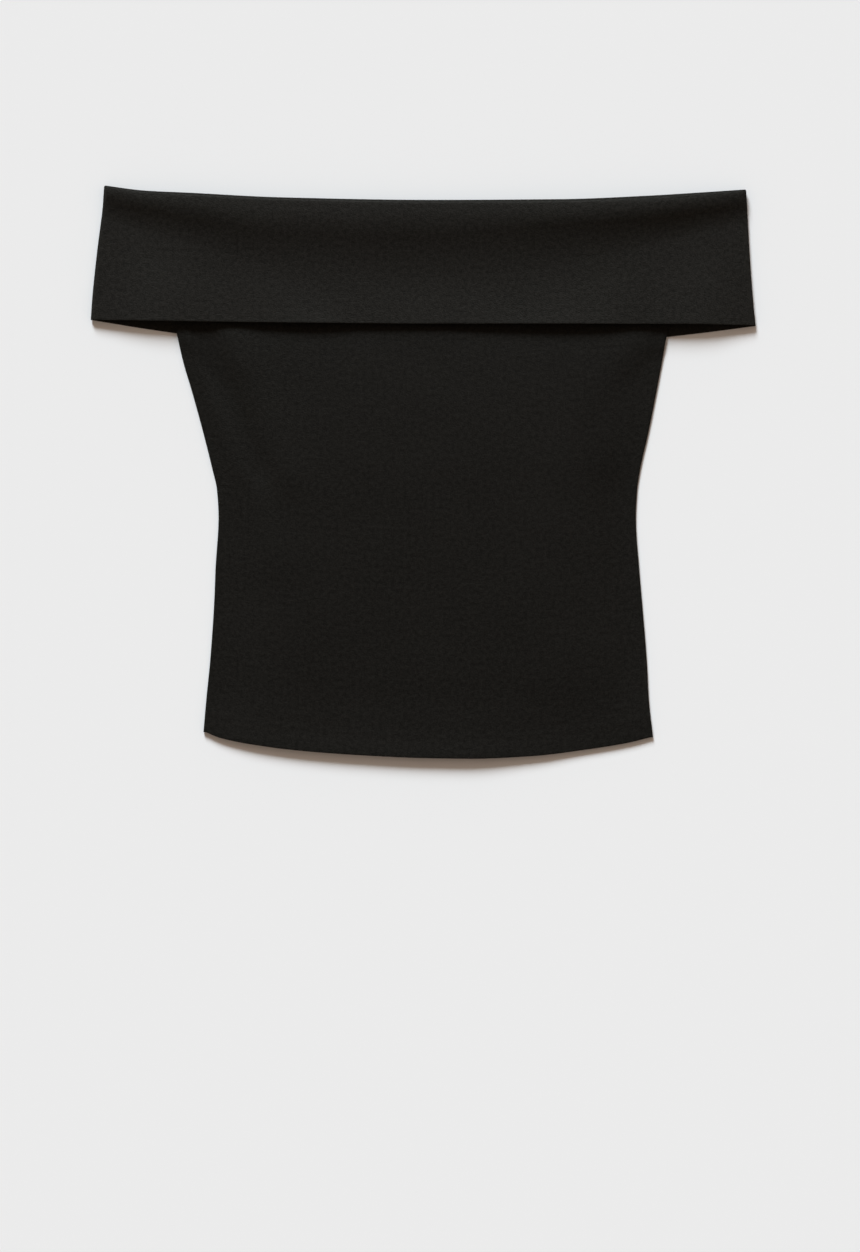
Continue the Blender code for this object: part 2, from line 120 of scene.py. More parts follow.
# Hem: its depth, the run and height of the step at its top, how far up its lift fades out, and
# the share of the lift that is lost at its top
HEM_DEPTH = 0.0175
HEM_STEP = 0.0025
HEM_RELIEF = 0.00015
HEM_LIFT_REACH = 0.030
HEM_DIP = 0.33

# The rolls where the collar turns over: their least radius, and what they gain where they are lofty
LAYER_GAP = 0.00025
TIGHT_RADIUS = (COLLAR_WALL + LAYER_GAP) / 2
BACK_LOFT = 0.00070
FRONT_LOFT = 0.00210
NECK_GAP = 0.0004
CREST_RISE = 0.0004
LIFT_EASE = 0.35

# The climb of the panels over the collar's back half: where it starts and ends below that
# half's lower edge, and the longer run that the front takes away from its sides
BACK_RAMP = 0.018
FRONT_RAMP = 0.085
RAMP_END = 0.002

# Air between the panels at their sides and in the yoke, how far in from the sides it is full,
# and the last step up to the neckline
SIDE_AIR = 0.0007
YOKE_AIR = 0.0002
YOKE_AIR_Y = 0.118
AIR_REACH = 0.070
NECK_STEP = 0.0006
NECK_STEP_RUN = 0.012

# How far each piece rounds off towards its side seams, and where those open into the armholes
PANEL_ROUND = 0.0020
STAND_ROUND = 0.0010
FALL_ROUND = 0.0030
LIP = 0.0003
UNDERARM_Y = 0.117
ARMHOLE_EASE = 0.028

# Cells of the fine sheets
FRONT_COLUMNS = 150
BACK_COLUMNS = 90
HEM_ROWS = 16
BODY_ROWS = 90
RAMP_ROWS = 14
YOKE_ROWS = 14
FALL_ROWS = 74
STAND_ROWS = 6
FOLD_STEPS = 14
ROUND_STEPS = 6

# Rounds of the search for the place where a row meets a side edge
EDGE_SEARCHES = 5

# Rounding of the cloth's own edges: a fold is rounder than a seam or a cut edge
FOLD_ROUNDING = 0.00048
SEAM_ROUNDING = 0.00018
ROUNDING_SEGMENTS = 4

MILLIMETRES = 1000.0

# Left and right edge of a piece at some levels
Level = namedtuple("Level", "name y left right")

PANEL_SIDES = (
    Level("hem", -0.2060, -0.1717, 0.1795),
    Level("hip", -0.1778, -0.1693, 0.1764),
    Level("high hip", -0.1466, -0.1662, 0.1747),
    Level("below waist", -0.0998, -0.1630, 0.1709),
    Level("low waist", -0.0764, -0.1621, 0.1689),
    Level("waist", -0.0350, -0.1597, 0.1662),
    Level("waist turn", -0.0130, -0.1610, 0.1673),
    Level("ribs", 0.0016, -0.1643, 0.1695),
    Level("under bust", 0.0328, -0.1721, 0.1764),
    Level("bust", 0.0640, -0.1807, 0.1825),
    Level("upper bust", 0.0874, -0.1876, 0.1869),
    Level("high bust", 0.1061, -0.1918, 0.1902),
    Level("underarm", UNDERARM_Y, -0.1943, 0.1925),
    Level("armhole", 0.1550, -0.2105, 0.2105),
    Level("neckline", 0.2120, -0.2433, 0.2460),
)

# The hem's lower edge, by the share of the way across
HemPoint = namedtuple("HemPoint", "across y")

HEM_LINE = (
    HemPoint(0.00, -0.2030),
    HemPoint(0.03, -0.2073),
    HemPoint(0.10, -0.2124),
    HemPoint(0.21, -0.2174),
    HemPoint(0.35, -0.2210),
    HemPoint(0.49, -0.2232),
    HemPoint(0.60, -0.2237),
    HemPoint(0.73, -0.2218),
    HemPoint(0.86, -0.2164),
    HemPoint(0.95, -0.2113),
    HemPoint(1.00, -0.2070),
)

COLLAR_SIDES = (
    Level("lower edge", 0.1145, -0.2597, 0.2597),
    Level("lower wing", 0.1350, -0.2583, 0.2576),
    Level("middle", 0.1725, -0.2544, 0.2549),
    Level("upper wing", 0.2090, -0.2499, 0.2529),
    Level("fold", 0.2200, -0.2491, 0.2522),
)

# Sections through the collar: y of its fold and of the lower edges of both falls, and the depth
# of the stand. Then, measured down from the fold, where the front fall crests, is steepest and
# reaches its foot, how deep it drops there, how far its lower edge lifts again, and how lofty the
# rolls are.
Section = namedtuple(
    "Section", "name x fold_y front_edge back_edge stand crest steepest foot drop lift loft"
)

COLLAR_SECTIONS = (
    Section("left seam", -0.250, 0.2238, 0.1187, 0.1174, 0.0080, 0.004, 0.0115, 0.026, 0.0030, 0.0012, 0.38),
    Section("left wing", -0.217, 0.2195, 0.1180, 0.1121, 0.0125, 0.006, 0.0150, 0.033, 0.0044, 0.0030, 0.70),
    Section("left arm", -0.180, 0.2176, 0.1174, 0.1070, 0.0160, 0.009, 0.0205, 0.042, 0.0045, 0.0018, 1.00),
    Section("left bust", -0.110, 0.2141, 0.1165, 0.1012, 0.0180, 0.013, 0.0280, 0.060, 0.0045, 0.0012, 1.00),
    Section("centre", 0.008, 0.2121, 0.1156, 0.0983, 0.0180, 0.012, 0.0285, 0.063, 0.0050, 0.0014, 1.00),
    Section("right bust", 0.107, 0.2126, 0.1155, 0.1004, 0.0180, 0.011, 0.0205, 0.054, 0.0056, 0.0012, 1.20),
    Section("right arm", 0.175, 0.2153, 0.1154, 0.1043, 0.0160, 0.008, 0.0182, 0.041, 0.0059, 0.0019, 1.15),
    Section("right wing", 0.217, 0.2180, 0.1152, 0.1087, 0.0125, 0.006, 0.0150, 0.032, 0.0048, 0.0030, 0.80),
    Section("right seam", 0.252, 0.2205, 0.1146, 0.1132, 0.0080, 0.004, 0.0115, 0.026, 0.0034, 0.0012, 0.38),
)

# Soft ridges of the front panel, and hollows where the height is below zero
Crease = namedtuple("Crease", "name x1 y1 x2 y2 half_width height")

FRONT_CREASES = (
    Crease("underarm pull", -0.173, 0.110, -0.129, 0.004, 0.010, -0.0017),
    Crease("depth of pull", -0.172, 0.112, -0.156, 0.070, 0.009, -0.0008),
    Crease("roll left of pull", -0.187, 0.108, -0.142, 0.000, 0.012, 0.0013),
    Crease("roll right of pull", -0.152, 0.106, -0.109, 0.002, 0.014, 0.0012),
    Crease("left waist roll", -0.136, -0.030, -0.118, -0.060, 0.014, 0.0005),
    Crease("right side hollow", 0.150, -0.020, 0.163, -0.165, 0.012, -0.0012),
    Crease("left hip hollow", -0.140, -0.110, -0.104, -0.180, 0.018, -0.0006),
    Crease("hollow above hem", -0.140, -0.180, 0.130, -0.184, 0.018, -0.0005),
    Crease("bulge left of bust", -0.143, 0.116, -0.140, 0.092, 0.015, 0.0008),
    Crease("bulge at centre", -0.049, 0.116, 0.012, 0.112, 0.012, 0.0003),
    Crease("bulge right of bust", 0.170, 0.116, 0.160, 0.092, 0.014, 0.0009),
)
CREASE_END_FADE = 1.5
CREASE_REACH = 0.012
BULGE_END_Y = 0.132
BULGE_FADE = 0.022

# How far the hem stands off what is under it
HemLift = namedtuple("HemLift", "name across height")

HEM_LIFTS = (
    HemLift("left corner", 0.00, 0.0007),
    HemLift("left", 0.12, 0.0022),
    HemLift("left of centre", 0.33, 0.0029),
    HemLift("centre", 0.57, 0.0032),
    HemLift("right of centre", 0.72, 0.0018),
    HemLift("right", 0.85, 0.0006),
    HemLift("right corner", 1.00, 0.0001),
)

# Air between the panels, away from their sides
AirLevel = namedtuple("AirLevel", "y air")

MIDDLE_AIR = (
    AirLevel(-0.190, 0.0028),
    AirLevel(-0.050, 0.0044),
    AirLevel(0.005, 0.0047),
    AirLevel(YOKE_AIR_Y, YOKE_AIR),
)

# Waves of the collar's lower edge in front
EdgeWave = namedtuple("EdgeWave", "x height")

EDGE_WAVES = (
    EdgeWave(-0.260, 0.0000),
    EdgeWave(-0.143, 0.0000),
    EdgeWave(-0.080, 0.0009),
    EdgeWave(-0.049, 0.0000),
    EdgeWave(0.008, 0.0000),
    EdgeWave(0.055, 0.0005),
    EdgeWave(0.107, 0.0011),
    EdgeWave(0.140, 0.0007),
    EdgeWave(0.169, 0.0000),
    EdgeWave(0.260, 0.0000),
)

Ripple = namedtuple("Ripple", "wavelength heading start height")

# Slight unevenness of cloth that has been worn and laid out by hand
RIPPLES = (
    Ripple(0.071, math.radians(20), 0.4, 0.00004),
    Ripple(0.053, math.radians(97), 1.9, 0.00003),
    Ripple(0.088, math.radians(141), 3.1, 0.00004),
    Ripple(0.037, math.radians(58), 5.0, 0.00002),
)


def clamped(value):
    return min(max(value, 0.0), 1.0)


def smooth(value):
    """An S-shaped step from 0 to 1."""
    t = clamped(value)
    return t * t * (3.0 - 2.0 * t)


def blend(a, b, share):
    return a + (b - a) * share


def curve_through(rows, along, value):
    """A smooth function through one column of a table, as a function of another column."""
    xs = [getattr(row, along) for row in rows]
    ys = [getattr(row, value) for row in rows]
    count = len(xs)
    steps = [(ys[i + 1] - ys[i]) / (xs[i + 1] - xs[i]) for i in range(count - 1)]
    slopes = [steps[0]]
    for before, after in zip(steps, steps[1:]):
        slopes.append(2 * before * after / (before + after) if before * after > 0 else 0.0)
    slopes.append(steps[-1])

    def at(x):
        if x <= xs[0]:
            return ys[0] + slopes[0] * (x - xs[0])
        if x >= xs[-1]:
            return ys[-1] + slopes[-1] * (x - xs[-1])
        i = max(k for k in range(count - 1) if xs[k] <= x)
        width = xs[i + 1] - xs[i]
        t = (x - xs[i]) / width
        return (
            ys[i] * (1 + 2 * t) * (1 - t) ** 2
            + slopes[i] * width * t * (1 - t) ** 2
            + ys[i + 1] * t * t * (3 - 2 * t)
            + slopes[i + 1] * width * t * t * (t - 1)
        )

    return at


panel_left = curve_through(PANEL_SIDES, "y", "left")
panel_right = curve_through(PANEL_SIDES, "y", "right")
collar_left = curve_through(COLLAR_SIDES, "y", "left")
collar_right = curve_through(COLLAR_SIDES, "y", "right")
fold_y = curve_through(COLLAR_SECTIONS, "x", "fold_y")
front_edge_y = curve_through(COLLAR_SECTIONS, "x", "front_edge")
back_edge_y = curve_through(COLLAR_SECTIONS, "x", "back_edge")
stand_height = curve_through(COLLAR_SECTIONS, "x", "stand")
crest_place = curve_through(COLLAR_SECTIONS, "x", "crest")
steepest_place = curve_through(COLLAR_SECTIONS, "x", "steepest")
foot_place = curve_through(COLLAR_SECTIONS, "x", "foot")
fall_drop = curve_through(COLLAR_SECTIONS, "x", "drop")
edge_lift = curve_through(COLLAR_SECTIONS, "x", "lift")
loft = curve_through(COLLAR_SECTIONS, "x", "loft")
hem_y = curve_through(HEM_LINE, "across", "y")
hem_lift = curve_through(HEM_LIFTS, "across", "height")
middle_air = curve_through(MIDDLE_AIR, "y", "air")
edge_wave = curve_through(EDGE_WAVES, "x", "height")

BACK_FALL_Z = COLLAR_WALL / 2
BACK_STAND_SEAM_Z = COLLAR_WALL + LAYER_GAP + COLLAR_WALL / 2
FRONT_STAND_SEAM_Z = BACK_STAND_SEAM_Z + COLLAR_WALL + NECK_GAP


def back_radius(x):
    return TIGHT_RADIUS + BACK_LOFT * loft(x)


def front_radius(x):
    return TIGHT_RADIUS + FRONT_LOFT * loft(x)


def back_stand_fold_z(x):
    return BACK_FALL_Z + 2 * back_radius(x)


def front_stand_fold_z(x):
    return back_stand_fold_z(x) + COLLAR_WALL + NECK_GAP


def front_fall_fold_z(x):
    return front_stand_fold_z(x) + 2 * front_radius(x)


def neckline_y(x):
    return fold_y(x) - stand_height(x) - SEAM_GAP


def roll_centre_y(x):
    return fold_y(x) - COLLAR_WALL / 2 - front_radius(x)


def ripple_height(x, y):
    return sum(
        r.height
        * math.sin(
            r.start
            + 2 * math.pi * (x * math.cos(r.heading) + y * math.sin(r.heading)) / r.wavelength
        )
        for r in RIPPLES
    )


def crease_height(crease, x, y):
    """One soft ridge or trough, widest in its middle and fading out at both ends."""
    run_x, run_y = crease.x2 - crease.x1, crease.y2 - crease.y1
    length = math.hypot(run_x, run_y)
    along = ((x - crease.x1) * run_x + (y - crease.y1) * run_y) / length
    across = ((x - crease.x1) * run_y - (y - crease.y1) * run_x) / length
    past_end = max(-along, along - length, 0.0)
    return crease.height * math.exp(-((across / crease.half_width) ** 2)) * math.exp(
        -((past_end / (CREASE_END_FADE * crease.half_width)) ** 2)
    )


def ramp_start_y(x):
    return back_edge_y(x) - BACK_RAMP


def ramp_end_y(x):
    return back_edge_y(x) - RAMP_END


def climb(x, y, run):
    """How far a panel has climbed over the collar's back half, when it takes a run to do so."""
    return (COLLAR_WALL + SEAM_GAP) * smooth(1.0 - (ramp_end_y(x) - y) / run)


def back_underside(x, y):
    return climb(x, y, BACK_RAMP - RAMP_END)


def hem_share(above_hem):
    """1 in the turned-up hem, 0 above it."""
    return 1.0 - smooth((above_hem - HEM_DEPTH) / HEM_STEP)


def wall_above_hem(above_hem):
    return blend(PANEL_WALL, HEM_WALL, hem_share(above_hem))


def unevenness(x, y):
    """All the creases and ripples of the front panel at one point."""
    change = sum(crease_height(crease, x, y) for crease in FRONT_CREASES) + ripple_height(x, y)
    return change * smooth((BULGE_END_Y - y) / BULGE_FADE)


def creased(air, change):
    """Air after a crease: a roll adds to it, and a hollow presses it out but never all of it."""
    return air + change if change > 0 else air * math.exp(change / air)


def front_outside(x, y, across, above_hem):
    """Height of the front panel's outer face. It bridges the step that the back panel makes."""
    from_side = min(x - panel_left(y), panel_right(y) - x)
    inside = smooth(from_side / AIR_REACH)
    middle = middle_air(min(y, YOKE_AIR_Y))
    air = blend(min(SIDE_AIR, middle), middle, inside)
    air = creased(air, unevenness(x, y) * smooth(from_side / CREASE_REACH))
    run = blend(BACK_RAMP - RAMP_END, FRONT_RAMP, inside)
    body = climb(x, y, run) + 2 * PANEL_WALL + SEAM_GAP + air
    lift = hem_lift(across) * (1.0 - HEM_DIP * smooth(above_hem / HEM_DEPTH))
    hem = 2 * HEM_WALL + SEAM_GAP + lift
    near_hem = math.exp(-((max(above_hem - HEM_DEPTH / 2, 0.0) / HEM_LIFT_REACH) ** 2))
    neck = smooth(1.0 - (neckline_y(x) - y) / NECK_STEP_RUN)
    return blend(body, hem, near_hem) + HEM_RELIEF * hem_share(above_hem) + NECK_STEP * neck


def fallen_share(below_fold, crest, steepest, foot):
    """0 above the crest and 1 below the foot, with a slope that peaks at the steepest place."""
    s = min(max(below_fold, crest), foot)
    if s < steepest:
        return (s - crest) ** 2 / ((foot - crest) * (steepest - crest))
    return 1.0 - (foot - s) ** 2 / ((foot - crest) * (foot - steepest))


def lifted_share(risen):
    """0 at the foot of the fall and 1 at its lower edge: an easy start, then a straight rise."""
    if risen < LIFT_EASE:
        return risen**2 / (2 * LIFT_EASE) / (1.0 - LIFT_EASE / 2)
    return (risen - LIFT_EASE / 2) / (1.0 - LIFT_EASE / 2)


def front_fall_height(x, y):
    """Middle of the wall of the collar's front fall: a crest, a trough and a lifted edge."""
    crest, foot = crest_place(x), foot_place(x)
    below_fold = fold_y(x) - y
    lowest = fold_y(x) - front_edge_y(x)
    height = front_fall_fold_z(x) + CREST_RISE * clamped(loft(x)) * smooth(below_fold / crest)
    height -= fall_drop(x) * fallen_share(below_fold, crest, steepest_place(x), foot)
    height += ripple_height(x, y) * clamped(loft(x)) * smooth(below_fold / foot)
    risen = clamped((below_fold - foot) / (lowest - foot))
    return height + edge_lift(x) * lifted_share(risen) + edge_wave(x) * risen**3


def edge_columns(inner):
    """Columns of a piece as (across, turn, lip): turn is the angle around a rounded side edge."""
    turns = [math.radians(90.0) * step / ROUND_STEPS for step in range(1, ROUND_STEPS + 1)]
    left = [(0.0, turns[-1], 1.0)] + [(0.0, turn, 0.0) for turn in reversed(turns)]
    middle = [(step / inner, 0.0, 0.0) for step in range(inner + 1)]
    right = [(1.0, turn, 0.0) for turn in turns] + [(1.0, turns[-1], 1.0)]
    return left + middle + right


def rounded_edge(left_tip, right_tip, reach, column, lip_out=0.0):
    """x of a column between two side edges that round off over a reach."""
    across, turn, lip = column
    x = blend(left_tip + reach, right_tip - reach, across)
    outwards = reach * math.sin(turn) + LIP * lip * lip_out
    return x - outwards if across < 0.5 else x + outwards


def edge_drop(height, seam, column, sewn=1.0, lip_out=0.0):
    """How far a rounded edge has turned towards the seam. It works for both layers."""
    _, turn, lip = column
    gap = SEAM_GAP / 2 if height > seam else -SEAM_GAP / 2
    lip_height = LIP if height > seam else -LIP
    drop = height - seam - gap - lip_height
    return sewn**2 * drop * (1.0 - math.cos(turn)) + lip_height * lip * (1.0 - lip_out)


def panel_rows():
    """Rows of a panel as (zone, share): hem, body, the climb over the collar, and yoke."""
    rows = [("hem", step / HEM_ROWS) for step in range(HEM_ROWS + 1)]
    for zone, count in (("body", BODY_ROWS), ("ramp", RAMP_ROWS), ("yoke", YOKE_ROWS)):
        rows += [(zone, (step + 1) / count) for step in range(count)]
    return rows


def side_seam(y):
    """How much of the side seam is sewn at y, and how far the panel's lip has turned out."""
    past_underarm = (y - UNDERARM_Y) / ARMHOLE_EASE
    return 1.0 - smooth(past_underarm), smooth(past_underarm - 1.0)


def panel_row_y(row, across, x):
    """y of a row of a panel, where the row crosses x."""
    zone, share = row
    hem_top = hem_y(across) + HEM_DEPTH + HEM_STEP
    stops = {
        "hem": (hem_y(across), hem_top),
        "body": (hem_top, ramp_start_y(x)),
        "ramp": (ramp_start_y(x), ramp_end_y(x)),
        "yoke": (ramp_end_y(x), neckline_y(x)),
    }
    return blend(*stops[zone], share)


def side_ends(row):
    """Where a row of a panel meets its left and its right edge."""
    left, right = panel_left(0.0), panel_right(0.0)
    for _ in range(EDGE_SEARCHES):
        left = panel_left(panel_row_y(row, 0.0, left))
        right = panel_right(panel_row_y(row, 1.0, right))
    return left, right


side_ends_of_row = {row: side_ends(row) for row in panel_rows()}


def panel_place(column, row):
    """x, y, height above the hem and state of the side seam at one corner of a panel."""
    across = column[0]
    left, right = side_ends_of_row[row]
    seam_y = panel_row_y(row, 0.0, left) if across < 0.5 else panel_row_y(row, 1.0, right)
    sewn, lip_out = side_seam(seam_y)
    x = rounded_edge(left, right, PANEL_ROUND, column, lip_out)
    y = panel_row_y(row, across, x)
    return x, y, y - hem_y(across), sewn, lip_out


def panel_faces(x, y, across, above_hem):
    """Heights of the outer faces of front and back panel, and of the seam between them."""
    front = front_outside(x, y, across, above_hem)
    back = back_underside(x, y)
    return front, back, (front + back) / 2


def front_panel_corner(column, row):
    x, y, above_hem, sewn, lip_out = panel_place(column, row)
    front, _, seam = panel_faces(x, y, column[0], above_hem)
    return x, y, front - edge_drop(front, seam, column, sewn, lip_out)


def back_panel_corner(column, row):
    x, y, above_hem, sewn, lip_out = panel_place(column, row)
    _, back, seam = panel_faces(x, y, column[0], above_hem)
    return x, y, back - edge_drop(back, seam, column, sewn, lip_out)


def collar_rows():
    """Rows of a collar half as (part, share): up the stand, around the roll, down the fall."""
    stand = [("stand", step / STAND_ROWS) for step in range(STAND_ROWS + 1)]
    roll = [("roll", step / FOLD_STEPS) for step in range(1, FOLD_STEPS + 1)]
    fall = [("fall", (step + 1) / FALL_ROWS) for step in range(FALL_ROWS)]
    return stand + roll + fall


def collar_half(is_front, column, row):
    """One corner of the collar's front or back half, on the middle of its wall."""
    part, share = row
    edge_y = front_edge_y if is_front else back_edge_y
    away = 1.0 if is_front else -1.0
    half_turn = math.pi * share if part == "roll" else (math.pi if part == "fall" else 0.0)
    fall_share = (1.0 - math.cos(half_turn)) / 2
    fall = share if part == "fall" else 0.0
    fold_left, fold_right = COLLAR_SIDES[-1].left, COLLAR_SIDES[-1].right
    low_left, low_right = COLLAR_SIDES[0].left, COLLAR_SIDES[0].right
    left_y = blend(roll_centre_y(fold_left), edge_y(low_left), fall)
    right_y = blend(roll_centre_y(fold_right), edge_y(low_right), fall)
    inset = COLLAR_WALL / 2 + 2 * TIGHT_RADIUS * (1.0 - fall_share)
    reach = blend(STAND_ROUND, FALL_ROUND, fall_share)
    left_tip, right_tip = collar_left(left_y) + inset, collar_right(right_y) - inset
    x = rounded_edge(left_tip, right_tip, reach, column)
    centre = roll_centre_y(x)
    stand_fold_z = front_stand_fold_z(x) if is_front else back_stand_fold_z(x)
    if part == "stand":
        y = blend(fold_y(x) - stand_height(x), centre, share)
        stand_seam_z = FRONT_STAND_SEAM_Z if is_front else BACK_STAND_SEAM_Z
        height = blend(stand_seam_z, stand_fold_z, smooth(share))
        seam = height - away * (COLLAR_WALL + NECK_GAP) / 2
    else:
        y = blend(centre, edge_y(x), fall) + front_radius(x) * math.sin(half_turn)
        over = front_fall_height(x, y) if part == "fall" else front_fall_fold_z(x)
        fall_seam = (over + BACK_FALL_Z) / 2
        stand_seam = (front_stand_fold_z(x) + back_stand_fold_z(x)) / 2
        seam = blend(stand_seam, fall_seam, fall_share)
        if part == "roll":
            radius = front_radius(x) if is_front else back_radius(x)
            height = stand_fold_z + away * radius * (1.0 - math.cos(half_turn))
        else:
            height = over if is_front else BACK_FALL_Z
    return x, y, height - edge_drop(height, seam, column)


def collar_front_corner(column, row):
    return collar_half(True, column, row)


def collar_back_corner(column, row):
    return collar_half(False, column, row)


def along_cloth(places, columns, rows):
    """How far each row lies along the cloth from the first row, at the middle column."""
    middle = columns // 2
    distance = [0.0]
    for row in range(1, rows):
        step = Vector(places[middle, row]) - Vector(places[middle, row - 1])
        distance.append(distance[-1] + step.length)
    return distance


def cloth_sheet(name, columns, rows, place, first_edge, last_edge, flipped):
    """An open sheet of cells with its weave laid out, and its edges marked for rounding."""
    mesh = bpy.data.meshes.new(name)
    sheet = bmesh.new()
    across, along = len(columns) - 1, len(rows) - 1
    bmesh.ops.create_grid(sheet, x_segments=across, y_segments=along, size=0.5)
    cell_of = {}
    places = {}
    for corner in sheet.verts:
        cell = (round((corner.co.x + 0.5) * across), round((corner.co.y + 0.5) * along))
        cell_of[corner] = cell
        places[cell] = place(columns[cell[0]], rows[cell[1]])
        corner.co = places[cell]
    distance = along_cloth(places, len(columns), len(rows))
    weave = sheet.loops.layers.uv.new("weave")
    for face in sheet.faces:
        for corner in face.loops:
            column, row = cell_of[corner.vert]
            corner[weave].uv = (places[column, row][0], distance[row])
    rounding = sheet.edges.layers.float.new("bevel_weight_edge")
    for edge in sheet.edges:
        if edge.is_boundary:
            ends = {cell_of[vert][1] for vert in edge.verts}
            width = SEAM_ROUNDING
            if ends == {0}:
                width = first_edge
            elif ends == {along}:
                width = last_edge
            edge[rounding] = width / FOLD_ROUNDING
    if flipped:
        bmesh.ops.reverse_faces(sheet, faces=sheet.faces)
    sheet.to_mesh(mesh)
    sheet.free()
    mesh.shade_smooth()
    return mesh


def cloth_piece(name, mesh, wall, offset, material):
    """Gives an open sheet its wall and its rounded edges. Offset -1 grows it inwards."""
    piece = bpy.data.objects.new(name, mesh)
    bpy.context.scene.collection.objects.link(piece)
    mesh.materials.append(material)
    thicken = piece.modifiers.new("wall", "SOLIDIFY")
    thicken.thickness = wall
    thicken.offset = offset
    round_off = piece.modifiers.new("rounded edges", "BEVEL")
    round_off.limit_method = "WEIGHT"
    round_off.width = FOLD_ROUNDING
    round_off.segments = ROUNDING_SEGMENTS
    round_off.harden_normals = False
    return piece


def thicker_at_hem(piece):
    """Solidify reads this vertex group: the full wall at the hem, one ply above it."""
    group = piece.vertex_groups.new(name="hem")
    for vertex in piece.data.vertices:
        left, right = panel_left(vertex.co.y), panel_right(vertex.co.y)
        across = clamped((vertex.co.x - left) / (right - left))
        wall = wall_above_hem(vertex.co.y - hem_y(across))
        group.add([vertex.index], wall / HEM_WALL, "REPLACE")
    piece.modifiers["wall"].vertex_group = "hem"


def make_panels(material):
    front_mesh = cloth_sheet(
        "front_cloth",
        edge_columns(FRONT_COLUMNS),
        panel_rows(),
        front_panel_corner,
        first_edge=FOLD_ROUNDING,
        last_edge=SEAM_ROUNDING,
        flipped=False,
    )
    front = cloth_piece("front_cloth", front_mesh, HEM_WALL, -1.0, material)
    thicker_at_hem(front)
    back_mesh = cloth_sheet(
        "back_cloth",
        edge_columns(BACK_COLUMNS),
        panel_rows(),
        back_panel_corner,
        first_edge=FOLD_ROUNDING,
        last_edge=SEAM_ROUNDING,
        flipped=True,
    )
    back = cloth_piece("back_cloth", back_mesh, HEM_WALL, -1.0, material)
    thicker_at_hem(back)
    return front, back


def make_collar(material):
    halves = []
    for name, count, corner in (
        ("collar_front_cloth", FRONT_COLUMNS, collar_front_corner),
        ("collar_back_cloth", BACK_COLUMNS, collar_back_corner),
    ):
        mesh = cloth_sheet(
            name,
            edge_columns(count),
            collar_rows(),
            corner,
            first_edge=SEAM_ROUNDING,
            last_edge=FOLD_ROUNDING,
            flipped=False,
        )
        halves.append(cloth_piece(name, mesh, COLLAR_WALL, 0.0, material))
    return halves


def crepe_group():
    """Crinkled yarn: fine and coarse grain, wales of the knit and a slow change of tone."""
    group = bpy.data.node_groups.new("crepe_yarn", "ShaderNodeTree")
    for name, in_out, kind in (
        ("Place", "INPUT", "NodeSocketVector"),
        ("Grain Tone", "INPUT", "NodeSocketFloat"),
        ("Slow Tone", "INPUT", "NodeSocketFloat"),
        ("Tone", "OUTPUT", "NodeSocketFloat"),
        ("Height", "OUTPUT", "NodeSocketFloat"),
    ):
        group.interface.new_socket(name=name, in_out=in_out, socket_type=kind)
    nodes, links = group.nodes, group.links
    entry = nodes.new("NodeGroupInput")
    leave = nodes.new("NodeGroupOutput")

    def noise(scale):
        node = nodes.new("ShaderNodeTexNoise")
        node.inputs["Scale"].default_value = scale
        node.inputs["Detail"].default_value = NOISE_DETAIL
        links.new(entry.outputs["Place"], node.inputs["Vector"])
        return node.outputs["Fac"]

    def maths(operation, first, second, third=None):
        node = nodes.new("ShaderNodeMath")
        node.operation = operation
        for place, value in enumerate((first, second, third)):
            if value is None:
                continue
            if isinstance(value, float):
                node.inputs[place].default_value = value
            else:
                links.new(value, node.inputs[place])
        return node.outputs[0]

    fine = noise(FINE_GRAIN)
    coarse = noise(COARSE_GRAIN)
    slow = noise(SLOW_CHANGE)
    wales = nodes.new("ShaderNodeTexWave")
    wales.bands_direction = "X"
    wales.inputs["Scale"].default_value = WALES
    wales.inputs["Distortion"].default_value = WALE_WAVER
    wales.inputs["Detail"].default_value = WALE_WAVER_DETAIL
    wales.inputs["Detail Scale"].default_value = WALE_WAVER_SCALE
    links.new(entry.outputs["Place"], wales.inputs["Vector"])
    fine_tone = maths("SUBTRACT", fine, NOISE_MIDDLE)
    coarse_tone = maths("MULTIPLY", maths("SUBTRACT", coarse, NOISE_MIDDLE), COARSE_TONE)
    grain = maths("ADD", fine_tone, coarse_tone)
    tone = maths("MULTIPLY_ADD", grain, entry.outputs["Grain Tone"], 1.0)
    change = maths("MULTIPLY", maths("SUBTRACT", slow, NOISE_MIDDLE), entry.outputs["Slow Tone"])
    links.new(maths("ADD", tone, change), leave.inputs["Tone"])
    grain_height = maths("ADD", fine, maths("MULTIPLY", coarse, COARSE_HEIGHT))
    height = maths("MULTIPLY_ADD", wales.outputs["Fac"], WALE_HEIGHT, grain_height)
    links.new(height, leave.inputs["Height"])
    return group


